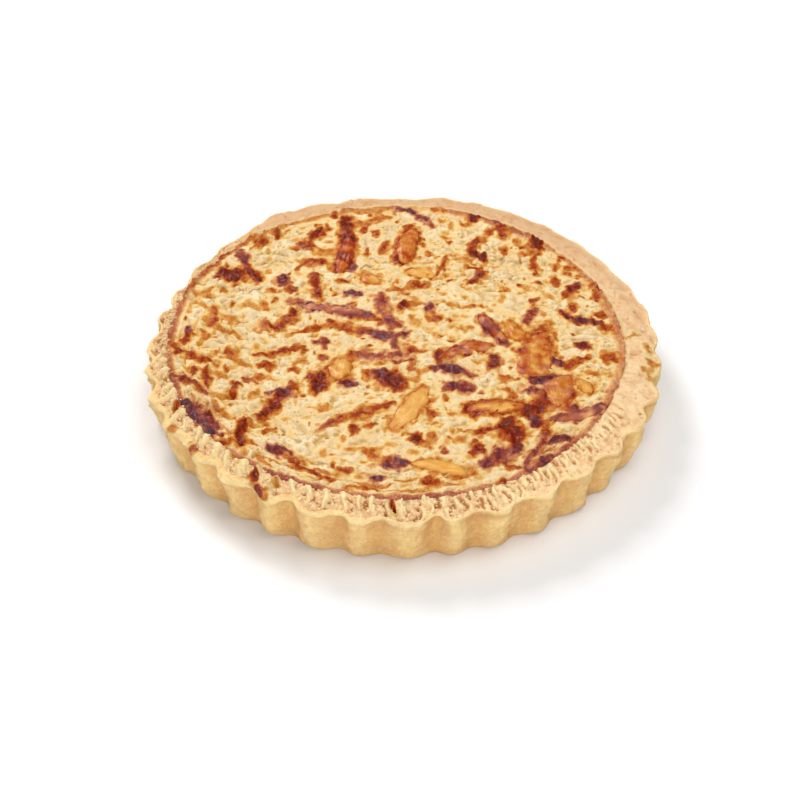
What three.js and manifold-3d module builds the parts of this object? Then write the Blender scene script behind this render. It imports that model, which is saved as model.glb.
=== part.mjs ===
// A whole onion quiche, turned out of its tin: a fluted shortcrust shell, the baked custard that fills it,
// and the larger onion pieces that lie half sunk in the custard's top.
// Millimetres, +Z up. The origin is the centre of the underside, and -Y is the side that faces the viewer.
import * as THREE from "three";
import { mergeVertices } from "three/addons/utils/BufferGeometryUtils.js";
import Module from "manifold-3d";

const wasm = await Module();
wasm.setup();

// Driving dimensions
const rimCrestRadius = 135; // outside of the flutes at the top
const footCrestRadius = 129.6; // outside of the flutes just above the base
const lipHeight = 30; // the outer lip of the rim
const rimInnerHeight = 33.6; // the rim rises inwards from its lip
const rimInnerRadius = 120.8;
const poolCentre = { x: -3, y: 1 }; // the custard's pool lies off centre, so the rim is widest on the right
const baseThickness = 5;
const footRounding = 2;
const fluteCount = 36;
const fluteDepth = 4.2;
const fluteTurn = 0.02; // radians, so that a flute's crest lies just left of the front
const custardLevel = 31.6;
const custardRise = 0.7; // the custard climbs a little where it meets the pastry
const custardSwell = 0.45; // half the height of its broad, shallow waves
const partGap = 0.3;
const onionThickness = 3;

const shellSegments = fluteCount * 6;
const custardSegments = 84;
const onionSegments = [10, 6];

const pastryFinish = new THREE.MeshStandardMaterial({ color: 0xe0b878, roughness: 0.85, metalness: 0 });
const custardFinish = new THREE.MeshStandardMaterial({ color: 0xf0d8a0, roughness: 0.6, metalness: 0 });
const brownedOnionFinish = new THREE.MeshStandardMaterial({ color: 0x96502a, roughness: 0.4, metalness: 0 });
const softOnionFinish = new THREE.MeshStandardMaterial({ color: 0xdca24e, roughness: 0.35, metalness: 0 });

// Turns an outline of { radius, height } points about Z. Angle 0 is the front, at -Y.
function turned(outline, segments) {
  const points = outline.map((p) => new THREE.Vector2(p.radius, p.height));
  return new THREE.LatheGeometry(points, segments).rotateX(Math.PI / 2);
}

// How far the wall lies inside a flute's crest at this angle: broad round crests with narrower grooves between.
function fluteGroove(angle) {
  const towardsGroove = 0.5 - 0.5 * Math.cos(fluteCount * (angle - fluteTurn));
  return fluteDepth * Math.pow(towardsGroove, 1.25);
}

// Broad shallow waves of the baked surface, flat at the pastry.
function custardWave(x, y) {
  const fromRim = rimInnerRadius - Math.hypot(x - poolCentre.x, y - poolCentre.y);
  const fade = THREE.MathUtils.smoothstep(fromRim, 2, 22);
  const waves = Math.sin(x / 17 + 0.6) + Math.sin(y / 14 - 0.9) + Math.sin((x - y) / 23 + 1.7);
  return custardSwell * fade * waves;
}

function solidFrom(geometry) {
  const bare = new THREE.BufferGeometry().setAttribute("position", geometry.getAttribute("position"));
  if (geometry.index) bare.setIndex(geometry.index);
  const merged = mergeVertices(bare, 1e-3);
  return new wasm.Manifold(
    new wasm.Mesh({
      numProp: 3,
      vertProperties: merged.attributes.position.array,
      triVerts: new Uint32Array(merged.index.array),
    }),
  );
}

function geometryFrom(solid) {
  const mesh = solid.getMesh();
  return new THREE.BufferGeometry()
    .setAttribute("position", new THREE.BufferAttribute(mesh.vertProperties, 3))
    .setIndex(new THREE.BufferAttribute(mesh.triVerts, 1));
}

// Pastry shell: flat base, flared fluted wall, and a broad rim that slopes down to a thin raised lip.
// fluted is the share of a flute's depth that reaches each point of the outline, and pooled the share of the
// pool's shift from the centre.
function pastryShell() {
  const flare = (rimCrestRadius - footCrestRadius) / lipHeight;
  const lipDrop = 0.8;
  const lipWidth = 1.3;
  const outline = [
    { radius: 0, height: 0, fluted: 0, pooled: 0 },
    { radius: footCrestRadius - footRounding, height: 0, fluted: 0.9, pooled: 0 },
    { radius: footCrestRadius, height: footRounding * 0.8, fluted: 1, pooled: 0 },
    { radius: footCrestRadius + (flare * lipHeight) / 2, height: lipHeight / 2, fluted: 1, pooled: 0 },
    { radius: rimCrestRadius, height: lipHeight - lipDrop, fluted: 1, pooled: 0 },
    { radius: rimCrestRadius - lipWidth, height: lipHeight, fluted: 1, pooled: 0 },
    { radius: rimCrestRadius - 3 * lipWidth, height: lipHeight - lipDrop, fluted: 0.9, pooled: 0 },
    { radius: (rimCrestRadius + rimInnerRadius) / 2 - 2, height: lipHeight + 1.6, fluted: 0.3, pooled: 0.6 },
    { radius: rimInnerRadius, height: rimInnerHeight, fluted: 0, pooled: 1 },
    { radius: rimInnerRadius - 1.2, height: rimInnerHeight - 1, fluted: 0, pooled: 1 },
    { radius: rimInnerRadius - 4, height: baseThickness + 1.5, fluted: 0, pooled: 1 },
    { radius: rimInnerRadius - 5.5, height: baseThickness, fluted: 0, pooled: 1 },
    { radius: 0, height: baseThickness, fluted: 0, pooled: 1 },
  ];
  const geometry = turned(outline, shellSegments);
  const place = geometry.attributes.position;
  for (let i = 0; i < place.count; i++) {
    const { fluted, pooled } = outline[i % outline.length];
    const radius = Math.hypot(place.getX(i), place.getY(i));
    const angle = Math.atan2(place.getX(i), -place.getY(i));
    const scale = fluted === 0 ? 1 : 1 - (fluted * fluteGroove(angle)) / radius;
    place.setX(i, place.getX(i) * scale + pooled * poolCentre.x);
    place.setY(i, place.getY(i) * scale + pooled * poolCentre.y);
  }
  return geometry;
}

// Custard: fills the shell from its floor to just below the rim's inner edge.
function custard() {
  const topRings = [112, 98, 80, 60, 38, 18];
  const outline = [
    { radius: 0, height: baseThickness + partGap },
    { radius: rimInnerRadius - 5.5 - partGap, height: baseThickness + partGap },
    { radius: rimInnerRadius - 4 - partGap, height: baseThickness + 1.5 + partGap },
    { radius: rimInnerRadius - 1.3 - partGap, height: custardLevel + custardRise },
    ...topRings.map((radius) => ({ radius, height: custardLevel })),
    { radius: 0, height: custardLevel },
  ];
  const geometry = turned(outline, custardSegments).translate(poolCentre.x, poolCentre.y, 0);
  const place = geometry.attributes.position;
  for (let i = 0; i < place.count; i++) {
    if (i % outline.length < 4) continue;
    place.setZ(i, place.getZ(i) + custardWave(place.getX(i), place.getY(i)));
  }
  return geometry;
}

// One onion piece: a flat, pointed sliver along X, curved sideways by bow at its ends.
function onionSliver(length, width, thickness, bow) {
  const geometry = new THREE.SphereGeometry(1, ...onionSegments).rotateY(Math.PI / 2);
  const place = geometry.attributes.position;
  for (let i = 0; i < place.count; i++) {
    const along = place.getX(i);
    const across = (place.getY(i) * width) / 2 + bow * (along * along - 0.4);
    place.setXYZ(i, (along * length) / 2, across, (place.getZ(i) * thickness) / 2);
  }
  return geometry;
}

// Where each larger piece lies on the custard: centre, length, width, turn from +X in degrees, sideways bow.
const onionPieces = [
  { x: 4, y: -56, length: 38, width: 12, turn: 62, bow: 1.5, soft: true },
  { x: 18, y: -98, length: 28, width: 9, turn: -15, bow: -1, soft: true },
  { x: 70, y: -10, length: 40, width: 13, turn: 82, bow: -1 },
  { x: 60, y: 7, length: 18, width: 10, turn: -68, bow: 1, soft: true },
  { x: 80, y: -41, length: 27, width: 13, turn: 76, bow: -1.5, soft: true },
  { x: 47, y: -55, length: 29, width: 11, turn: 4, bow: -1.5 },
  { x: 92.5, y: -38, length: 14, width: 8, turn: -68, bow: 0.5, soft: true },
  { x: 10, y: 57, length: 16, width: 8, turn: -14, bow: -1, soft: true },
  { x: 32, y: -9, length: 32, width: 8, turn: 22, bow: -2 },
  { x: 47.5, y: 8.5, length: 27, width: 7, turn: -58, bow: 1 },
  { x: -32, y: 77, length: 40, width: 9, turn: 81, bow: 1 },
  { x: 4, y: 84, length: 34, width: 11, turn: 80, bow: -1.5 },
  { x: -32, y: -24, length: 20, width: 12, turn: 86, bow: 0, soft: true },
  { x: -18, y: 53, length: 13, width: 9, turn: -42, bow: 0.5, soft: true },
  { x: 88, y: -60, length: 30, width: 7, turn: 18, bow: 1 },
  { x: -36, y: 25, length: 46, width: 7, turn: -13, bow: -1.5 },
];

const quiche = new THREE.Group();

const shell = new THREE.Mesh(pastryShell(), pastryFinish);
shell.name = "pastry_shell";
quiche.add(shell);

let filling = solidFrom(custard());
onionPieces.forEach((piece, i) => {
  const mesh = new THREE.Mesh(
    onionSliver(piece.length, piece.width, onionThickness, piece.bow),
    piece.soft ? softOnionFinish : brownedOnionFinish,
  );
  mesh.name = `onion_piece_${String(i + 1).padStart(2, "0")}`;
  mesh.position.set(piece.x, piece.y, custardLevel + custardWave(piece.x, piece.y));
  mesh.rotation.z = THREE.MathUtils.degToRad(piece.turn);
  mesh.updateMatrix();
  quiche.add(mesh);

  const around = 2 * partGap;
  const pocket = onionSliver(piece.length + around, piece.width + around, onionThickness + around, piece.bow);
  filling = filling.subtract(solidFrom(pocket.applyMatrix4(mesh.matrix)));
});

const fillingMesh = new THREE.Mesh(geometryFrom(filling), custardFinish);
fillingMesh.name = "custard_filling";
quiche.add(fillingMesh);

export default quiche;
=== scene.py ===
# %% [markdown]
# # A whole onion quiche
# A quiche is an open tart: a fluted shell of shortcrust pastry, filled level with egg custard and baked
# until the top browns in patches. This one was baked in a loose-bottomed tin and turned out of it, so the
# pastry wears the tin's flutes. The exact solids come in as a frame, and this script makes the surfaces
# that are seen.

# %% Load the frame
import math
import random

import bmesh
import bpy
import numpy as np
from mathutils import Matrix, Vector, kdtree, noise


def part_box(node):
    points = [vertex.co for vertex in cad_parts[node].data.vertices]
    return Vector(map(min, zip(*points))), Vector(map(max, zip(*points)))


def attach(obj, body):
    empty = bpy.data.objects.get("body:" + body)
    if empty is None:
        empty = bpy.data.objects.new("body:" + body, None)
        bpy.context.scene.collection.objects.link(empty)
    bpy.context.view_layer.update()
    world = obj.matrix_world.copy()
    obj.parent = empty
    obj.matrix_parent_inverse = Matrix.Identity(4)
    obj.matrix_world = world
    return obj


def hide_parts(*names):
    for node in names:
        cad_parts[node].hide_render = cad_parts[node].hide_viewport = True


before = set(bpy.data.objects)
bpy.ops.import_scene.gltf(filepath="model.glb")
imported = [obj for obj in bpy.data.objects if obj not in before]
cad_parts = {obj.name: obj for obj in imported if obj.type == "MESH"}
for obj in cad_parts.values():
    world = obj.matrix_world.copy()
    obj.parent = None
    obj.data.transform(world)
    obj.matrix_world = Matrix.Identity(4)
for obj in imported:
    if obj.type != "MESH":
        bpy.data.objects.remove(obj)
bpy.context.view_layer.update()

MM = 0.001
_, shell_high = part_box("pastry_shell")
RIM_RADIUS = shell_high.x / MM
RIM_HEIGHT = shell_high.z / MM
print("rim radius", round(RIM_RADIUS, 1), "mm, rim height", round(RIM_HEIGHT, 1), "mm")

# %% [markdown]
# ## The camera
# The quiche is seen from in front and above, from nearly a metre away, so its circle shows as a gentle
# oval. A camera looks down its own -Z, so it is turned to point that axis at a target just under the
# middle.

# %% Camera
CAMERA_ELEVATION = math.radians(40.5)
CAMERA_DISTANCE = 0.9
CAMERA_LENS = 75.4
CAMERA_TARGET = (-0.0012, -0.0054, -0.0063)


def aim(thing, place, target):
    """Puts a camera or lamp at a place and turns its -Z axis, the way it looks or shines, to a target."""
    thing.location = place
    thing.rotation_mode = "QUATERNION"
    thing.rotation_quaternion = (Vector(target) - thing.location).to_track_quat("-Z", "Y")
    bpy.context.scene.collection.objects.link(thing)


camera = bpy.data.objects.new("camera", bpy.data.cameras.new("camera"))
camera.data.lens = CAMERA_LENS
camera_height = CAMERA_DISTANCE * math.sin(CAMERA_ELEVATION)
aim(camera, (0, -CAMERA_DISTANCE * math.cos(CAMERA_ELEVATION), camera_height), CAMERA_TARGET)
bpy.context.scene.camera = camera
bpy.context.scene.view_settings.view_transform = "Standard"
print("camera", [round(c, 3) for c in camera.location])

# %% [markdown]
# ## Noise and smooth steps
# Baked food has no straight edge and no even tone. A few helpers give that everywhere below: smooth noise
# of a chosen lump size, a soft step from 0 to 1, and a bump round one angle of the rim. They work on
# every vertex of a mesh at once, so one line shapes a whole surface. Displacement in the material could
# do it too, but only geometry shows in the meshes.

# %% Helpers for fields over a mesh
def lumps(x, y, z, size, octaves=1, shift=0.0):
    """Smooth noise from about -1 to 1 at each point. size is its largest lumps' width in millimetres."""
    points = np.column_stack((x, y, z)) / size + shift
    if octaves == 1:
        return np.array([noise.noise(Vector(p)) for p in points.tolist()])
    return np.array([noise.fractal(Vector(p), 1.0, 2.0, octaves) for p in points.tolist()])


def flat_lumps(x, y, size, octaves=1, shift=0.0):
    """The same noise read on a level plane, so that it does not change with height."""
    return lumps(x, y, np.zeros(len(x)), size, octaves, shift)


def step(value, start, end):
    """0 before start, 1 after end, and smooth between them. start may be the larger of the two."""
    t = np.clip((value - start) / (end - start), 0, 1)
    return t * t * (3 - 2 * t)


def bump_at(angle, centre, width):
    """1 at one angle of the rim, falling to 0 about width degrees away."""
    off = (angle - centre + 180) % 360 - 180
    return np.exp(-((off / width) ** 2))


def grain_distance(x, y, size, shift):
    """How far each point is from the nearest of seeds scattered about size apart, in the same units."""
    near = np.empty(len(x))
    for i, (a, b) in enumerate(zip((x / size + shift).tolist(), (y / size).tolist())):
        distances, _ = noise.voronoi(Vector((a, b, shift)))
        near[i] = distances[0]
    return near * size


def rim_angle(x, y):
    """Degrees round the quiche from the front, growing towards the right."""
    return np.degrees(np.arctan2(x, -y))


# %% [markdown]
# ## Where the custard has browned
# The heat browns what stands proud: slivers of red onion, blisters and the line along the pastry. Each
# mark is written as a path in millimetres (x to the right, y to the back), its width, how far it has
# browned, from 0.2 for golden to 1 for nearly black, and how purple it is, from 0 for custard to 1 for
# red onion skin.

# %% The marks
MARKS = [
    # the middle
    ([(-61, 32), (-45, 28), (-36, 26.5)], 5, 0.66, 0.75),
    ([(-37, 27), (-30, 25), (-25, 23)], 7, 0.80, 0.95),
    ([(-28, 20), (-22, 18), (-12, 16.5)], 4.5, 0.60, 0.3), ([(-30, 40.5), (-22, 38.5)], 5.5, 0.86, 0.9),
    ([(-28.5, 31.5), (-26, 31)], 3.5, 0.66, 0.6),
    ([(-12, 38), (-10, 25), (-6, 12), (-1, 10)], 6.5, 0.62, 0.75), ([(0, 29), (0, 26)], 5.5, 0.86, 0.35),
    ([(-8, 41), (4, 43)], 4, 0.48, 0.4), ([(6, 46), (12, 46)], 6, 0.68, 0.4),
    ([(14, 26), (14, 24)], 5.5, 0.74, 0.8), ([(27, 28), (37, 28)], 3, 0.42, 0.3),
    ([(24, 29), (26, 29)], 3, 0.5, 0.2), ([(42, 29), (43, 28)], 3, 0.4, 0.3),
    ([(15, 17), (20, 17)], 6, 0.64, 0.25), ([(24, 15), (26, 15)], 3, 0.5, 0.3),
    ([(-38, 15), (-27, 9), (-18, 6)], 6.5, 0.62, 0.45), ([(-18, 5), (-6, 3)], 7, 0.84, 0.95),
    ([(3, 4), (-4, 1), (-4, -8)], 4, 0.72, 0.8), ([(-44, -2), (-39, -2)], 6, 0.78, 0.7),
    ([(27, 9), (37, 9.5)], 4.5, 0.44, 0.45), ([(3, -9), (8, -9)], 4, 0.6, 0.5),
    ([(-26, -11), (-26, -15)], 5.5, 0.66, 0.35), ([(-27, -12), (-14, -15), (2, -12)], 5, 0.62, 0.8),
    ([(-41, -13), (-41, -17)], 6, 0.62, 0.45), ([(-38, -24), (-34, -28)], 6, 0.76, 0.65),
    ([(-31, -37), (-23, -37)], 5.5, 0.74, 0.9), ([(-13, -21), (-9, -21)], 5, 0.5, 0.1),
    ([(-17, -27), (-17, -31)], 4.5, 0.62, 0.4), ([(-12, -30), (-6, -33), (0, -38)], 11, 0.90, 0.45),
    ([(-14, -27), (-9, -30)], 7, 0.9, 0.9), ([(-5, -18), (6, -18), (4, -25)], 4, 0.56, 0.6),
    ([(14, -26), (24, -24), (38, -29)], 5, 0.62, 0.75), ([(20, -24), (29, -25)], 9, 0.95, 0.95),
    ([(24, -38), (34, -40)], 9, 0.86, 0.75), ([(4, -31), (6, -34)], 4, 0.4, 0),
    ([(9, -27), (12, -27)], 3.5, 0.36, 0), ([(19, -12), (19, -17)], 5.5, 0.8, 0.4),
    ([(-42, -30), (-43, -42)], 9, 0.90, 0.45), ([(-47, -28), (-46, -33)], 4.5, 0.8, 0.5),
    ([(-12, 13), (-10, 13)], 4, 0.6, 0.6),
    # the right
    ([(88, 38), (96, 47)], 5.5, 0.82, 0.45), ([(94.5, 47), (96, 49)], 3.5, 0.95, 0.9),
    ([(105, 41), (105, 33)], 4.5, 0.66, 0.3), ([(69, 33), (73, 33)], 3.5, 0.5, 0.3),
    ([(72, 27), (66, 16)], 5, 0.66, 0.7), ([(91, 30), (93, 25)], 5, 0.64, 0.5),
    ([(84, 23), (90, 18), (97, 15.5), (104, 14)], 5.5, 0.90, 0.6), ([(90, 18), (103, 14)], 3, 0.9, 0.95),
    ([(104, 21), (106, 20)], 5, 0.66, 0.4), ([(107, 10), (111, 8)], 8, 0.56, 0.1),
    ([(77, 7), (79, 5)], 4.5, 0.42, 0), ([(78, 16), (78, 12)], 2.5, 0.4, 0),
    ([(92, -3), (97, -8)], 6, 0.84, 0.6), ([(62, -8), (64, -9)], 5, 0.86, 0.9),
    ([(47, -13), (47, -22)], 7.5, 0.86, 0.6), ([(79, -17), (83, -19)], 6, 0.86, 0.95),
    ([(84, -21), (95, -15)], 5.5, 0.6, 0.2), ([(106, -14), (110, -17)], 8, 0.54, 0.05),
    ([(51, -30), (56, -32)], 5.5, 0.56, 0.5), ([(66, -31), (70, -33)], 6.5, 0.92, 0.95),
    ([(72, -31), (79, -32), (78, -38)], 7, 0.82, 0.95),
    ([(62, -42), (68, -42), (74, -42)], 5.5, 0.72, 0.85),
    ([(76, -43), (70, -52), (62, -59)], 10, 0.80, 0.45), ([(51, -41), (57, -47)], 5, 0.56, 0.1),
    ([(64, -62), (67, -65), (66, -69)], 5.5, 0.93, 0.8), ([(70, -65), (72, -71)], 6, 0.6, 0.1),
    ([(78, -53), (83, -56), (87, -54)], 4.5, 0.66, 0.75),
    ([(74, -63), (83, -61), (103, -54)], 5.5, 0.76, 0.85),
    ([(52, -66), (54, -74), (55, -80)], 13, 0.86, 0.30),
    ([(57, -82), (50, -88), (41, -96)], 8.5, 0.78, 0.80), ([(36, -84), (38, -87)], 6, 0.84, 0.4),
    ([(35, -79), (36, -83)], 3, 0.6, 0.2), ([(72, -73), (66, -84), (59, -99)], 4, 0.7, 0.8),
    ([(73, -80), (83, -77)], 4, 0.72, 0.9), ([(75, -72), (76, -75)], 5, 0.4, 0),
    ([(60, -100), (73, -92)], 6, 0.72, 0.85),
    ([(53, -67), (48, -69), (40, -71), (36, -72)], 3.5, 0.62, 0.5),
    ([(34, -55), (35, -60)], 10, 0.78, 0.25), ([(107, -30), (100, -28), (92, -26)], 3, 0.42, 0.3),
    ([(86, -44), (84, -50), (80, -54)], 5, 0.62, 0.4),
    # towards the front
    ([(-39, -68), (-33, -65)], 3, 0.60, 0.8),
    ([(-33, -65), (-28, -62), (-16, -57), (-5, -52)], 6, 0.66, 0.35),
    ([(-42, -54), (-38, -56)], 5, 0.36, 0), ([(-18, -67), (-14, -67)], 4, 0.46, 0.4),
    ([(-24, -69), (-24, -73)], 6, 0.72, 0.05), ([(12, -59), (18, -59)], 4.5, 0.46, 0.3),
    ([(13, -67), (18, -67)], 3, 0.44, 0.2), ([(5, -76), (7, -79)], 7, 0.93, 0.15),
    ([(15, -74), (13, -83)], 4, 0.5, 0.5), ([(24, -59), (26, -59)], 4, 0.4, 0),
    ([(22, -47), (22, -49)], 3.5, 0.36, 0), ([(31, -72), (44, -72)], 3.5, 0.6, 0.5),
    ([(26, -78), (30, -78)], 3, 0.4, 0.1), ([(20, -86), (20, -88)], 5, 0.6, 0.7),
    ([(-8, -94), (0, -94.5)], 6.5, 0.86, 0.95), ([(-20, -84), (-8, -92)], 4.5, 0.42, 0.1),
    ([(1, -95), (8, -96)], 3.5, 0.6, 0.8), ([(-30, -99), (-25, -99)], 4, 0.5, 0.2),
    ([(-14, -105), (-10, -105)], 5, 0.7, 0.85), ([(11, -108), (16, -108)], 6, 0.74, 0.1),
    ([(-51, -96), (-45, -101), (-32, -108)], 3, 0.72, 0.5), ([(-27, -112), (-12, -113.5)], 2.5, 0.6, 0.4),
    ([(51, -98), (58, -98)], 3.5, 0.6, 0.6), ([(35, -103), (37, -103)], 3, 0.5, 0.3),
    ([(47, -108), (49, -108)], 4, 0.74, 0.1), ([(-63, -86), (-57, -86)], 6.5, 0.88, 0.9),
    ([(-59, -88), (-50, -95)], 3.5, 0.7, 0.5), ([(-68, -74), (-63, -73)], 3.5, 0.5, 0.1),
    ([(-78, -67), (-80, -75), (-78, -83)], 6, 0.82, 0.35), ([(-77, -65), (-75, -67)], 4, 0.6, 0.4),
    ([(-90, -81), (-86, -81)], 4.5, 0.62, 0.2),
    ([(-110, -51), (-105, -58), (-99, -66), (-93, -74)], 7, 0.84, 0.98),
    ([(-97, -61), (-95, -62)], 3.5, 0.92, 0.2), ([(-104, -52), (-98, -60), (-91, -70)], 5, 0.7, 0.8),
    ([(-58, -42), (-61, -47)], 8.5, 0.82, 0.85), ([(-61, -47), (-66, -57), (-70, -63)], 7, 0.74, 0.3),
    ([(-69, -45), (-65, -44.5)], 4, 0.78, 0.8),
    # the left
    ([(-56, -37), (-55, -41)], 7, 0.62, 0.1), ([(-84, -40), (-85, -47)], 4.5, 0.74, 0.2),
    ([(-72, -43), (-76, -49)], 3.5, 0.56, 0), ([(-79, -32), (-74, -37)], 3.5, 0.62, 0.7),
    ([(-75, -32), (-69, -32)], 6, 0.5, 0.2), ([(-69, -20), (-69, -25)], 6, 0.62, 0.3),
    ([(-56, -24), (-54, -26)], 5.5, 0.5, 0), ([(-77, -13), (-66, -11.5), (-52, -7)], 4.5, 0.66, 0.35),
    ([(-57, 5), (-50, 8), (-44, 12)], 4.5, 0.6, 0.3), ([(-91, -9), (-86, -17)], 5, 0.56, 0.1),
    ([(-97, -11), (-95, -12)], 4, 0.5, 0.3),
    ([(-122, -3), (-117, -9), (-108, -14), (-95, -21)], 4.5, 0.64, 0.2),
    ([(-108, -23), (-105, -30)], 3.5, 0.66, 0.3), ([(-101, -24), (-99, -37)], 4, 0.62, 0.2),
    ([(-90, -23), (-90, -26)], 4, 0.44, 0), ([(-116, -31), (-108, -36), (-99, -43)], 4, 0.66, 0.7),
    ([(-58, 23), (-66, 9)], 7.5, 0.66, 0.5), ([(-73, 14), (-73, 10)], 6, 0.62, 0.55),
    ([(-101, 26), (-101, 10)], 5, 0.54, 0.25), ([(-114, 8), (-114, 5)], 4.5, 0.92, 0.9),
    ([(-114, 3), (-113, 0)], 5, 0.72, 0.3), ([(-106, 5), (-102, -2)], 4, 0.5, 0),
    ([(-74, 29), (-74, 26)], 4.5, 0.6, 0.4), ([(-69, 34), (-69, 32)], 3.5, 0.56, 0.3),
    ([(-71, 43), (-70, 41)], 5, 0.66, 0.4), ([(-60, 44), (-59, 42)], 6, 0.78, 0.6),
    ([(-48, 56), (-47, 46), (-45, 36)], 6, 0.72, 0.25), ([(-86, -35), (-86, -38)], 4, 0.6, 0.2),
    ([(-66, 54), (-66, 47)], 7, 0.86, 0.75), ([(-97, 58), (-92, 55), (-93, 50)], 13, 0.92, 0.35),
    ([(-101, 57), (-100, 54)], 6.5, 0.7, 0.95), ([(-91, 77), (-89, 72), (-87, 66)], 6, 0.76, 0.85),
    ([(-87, 66), (-83, 58), (-78, 50)], 5, 0.86, 0.4), ([(-93, 74), (-90, 76)], 5, 0.62, 0.8),
    ([(-103, 44), (-107, 41), (-104, 37)], 4, 0.44, 0), ([(-98, 37), (-95, 42)], 3, 0.34, 0),
    ([(-83, 31), (-82, 28)], 4.5, 0.36, 0.1),
    # towards the back
    ([(-79, 91), (-78, 84)], 7, 0.58, 0.05), ([(-84, 88), (-79, 91)], 3, 0.5, 0.2),
    ([(-84, 81), (-79, 81)], 3.5, 0.5, 0), ([(-72, 97), (-70, 92)], 6, 0.6, 0),
    ([(-66, 98), (-65, 97)], 3, 0.42, 0), ([(-47, 100), (-47, 95), (-52, 91)], 5.5, 0.88, 0.35),
    ([(-43, 103), (-42, 98)], 3, 0.56, 0), ([(-60, 87), (-52, 88), (-50, 84)], 3.5, 0.62, 0.1),
    ([(-57, 85), (-52, 82)], 7, 0.64, 0.85), ([(-48, 81), (-41, 76), (-38, 73)], 9, 0.38, 0),
    ([(-61, 80), (-60, 79)], 4, 0.44, 0), ([(-58, 62), (-55, 68), (-50, 72), (-45, 68)], 3.5, 0.6, 0.1),
    ([(-52, 66), (-48, 66)], 5, 0.4, 0.5),
    ([(-33, 112), (-31, 100), (-31, 90), (-33, 78), (-35, 68)], 8, 0.86, 0.35),
    ([(-36, 66), (-30, 64)], 8.5, 0.9, 1.0), ([(-41, 68), (-40, 61)], 3.5, 0.5, 0),
    ([(-30, 104), (-20, 106), (-8, 112)], 5.5, 0.6, 0.1), ([(-22, 102), (-22, 96)], 4, 0.56, 0.1),
    ([(-28, 116), (-8, 119)], 3, 0.36, 0.1), ([(-4, 119), (3, 118), (9, 113), (14, 106)], 4, 0.84, 0.9),
    ([(14, 107), (17, 101)], 4, 0.6, 0.7), ([(-20.5, 82), (-20.5, 76)], 3, 0.66, 0),
    ([(-16, 95), (-14, 93)], 5, 0.66, 0.2), ([(-8, 85), (-12, 76)], 4.5, 0.6, 0),
    ([(10, 95), (11, 94)], 3, 0.56, 0), ([(12, 84), (12, 83)], 3.5, 0.5, 0),
    ([(14, 77), (15, 75)], 3, 0.56, 0), ([(23, 92), (24, 92)], 3, 0.46, 0),
    ([(27, 88), (27, 86)], 3.5, 0.6, 0), ([(25, 75), (20, 57)], 3, 0.64, 0),
    ([(5, 101), (2, 88), (0, 79)], 8, 0.66, 0.1), ([(0, 76), (0, 69)], 10, 0.86, 0.25),
    ([(35, 106), (36, 103)], 5, 0.46, 0), ([(40, 112), (41, 107)], 6.5, 0.84, 0.5),
    ([(42, 110), (46, 112)], 4.5, 0.74, 0.4), ([(17, 119), (25, 118)], 3.5, 0.48, 0),
    ([(42, 89), (39, 79)], 5.5, 0.74, 0.1), ([(38, 78), (44, 73), (45, 69)], 5, 0.78, 0.5),
    ([(-18, 55), (-17, 51)], 9, 0.58, 0.05), ([(-35, 51), (-31, 50)], 4.5, 0.78, 0.3),
    ([(25, 51), (26, 50)], 3, 0.56, 0.1),
    ([(37, 63), (42, 62), (44, 55), (40, 50), (35, 48)], 5, 0.72, 0.25),
    ([(42, 57), (42, 52)], 5, 0.64, 0.85), ([(56, 103), (57, 97), (58, 92)], 6, 0.66, 0.05),
    ([(55, 103), (57, 102)], 4.5, 0.78, 0.2), ([(50, 98), (48, 94)], 5, 0.56, 0),
    ([(46, 90), (46, 86)], 4, 0.48, 0), ([(58, 84), (56, 79)], 5, 0.46, 0),
    ([(67, 89), (65, 85)], 5, 0.38, 0), ([(75, 91), (77, 86), (76, 82)], 6.5, 0.82, 0.25),
    ([(73, 83), (73, 80)], 5, 0.62, 0.9), ([(70, 84), (68, 82)], 5, 0.58, 0),
    ([(65, 76), (75, 77)], 4, 0.46, 0), ([(75, 77), (73, 68), (73, 57)], 3.5, 0.66, 0.1),
    ([(88, 72), (85, 66), (84, 62)], 3.5, 0.58, 0.05), ([(88, 72), (90, 70)], 3.5, 0.66, 0.2),
    ([(91, 62), (95, 62)], 6.5, 0.54, 0), ([(90, 58), (92, 57)], 4, 0.64, 0.2),
    ([(84, 56), (83, 50), (84, 46)], 3.5, 0.58, 0.05), ([(97, 55), (98, 54)], 3.5, 0.42, 0),
    ([(103, 48), (103, 46)], 4.5, 0.42, 0), ([(107, 45), (109, 43)], 4, 0.56, 0.1),
    ([(66, 46), (71, 44)], 6, 0.34, 0), ([(55, 46), (56, 42)], 4.5, 0.5, 0.05),
    ([(-40, 113), (-39, 110)], 4.5, 0.56, 0.3),
]
print(len(MARKS), "browned marks")

# %% [markdown]
# ## Cracks
# As the custard cools it shrinks, and its skin splits along fine winding lines. Noise gives cracks
# everywhere alike; a few listed paths keep them where the skin is smooth and thin.

# %% The cracks
CRACKS = [
    [(-33, 51), (-27, 57), (-23, 63), (-17, 66), (-13, 69), (-20, 76), (-21, 90)],
    [(-13, 69), (-5, 67), (8, 72), (13, 71), (16, 69)],
    [(25, 82), (31, 76), (40, 72), (52, 70)],
    [(56, 82), (57, 74), (54, 66), (47, 62)],
    [(66, 74), (65, 64)],
    [(72, 40), (80, 37), (86, 28)],
    [(80, 37), (92, 36), (104, 34)],
    [(-92, 24), (-90, 12), (-93, 2)],
    [(-90, 12), (-82, 8), (-74, 4)],
    [(-78, -62), (-66, -68), (-56, -74), (-50, -80)],
    [(-45, -92), (-20, -101), (0, -104)],
    [(72, -12), (70, -20), (73, -26)],
    [(-104, 30), (-100, 34), (-92, 36)],
    [(-84, 38), (-76, 46), (-66, 42)],
]
print(len(CRACKS), "cracks")

# %% [markdown]
# ## Where the onion petals lie
# The larger petals are pieces of their own. They are listed here, before the custard is made, because the
# custard browns around each of them too.

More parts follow.
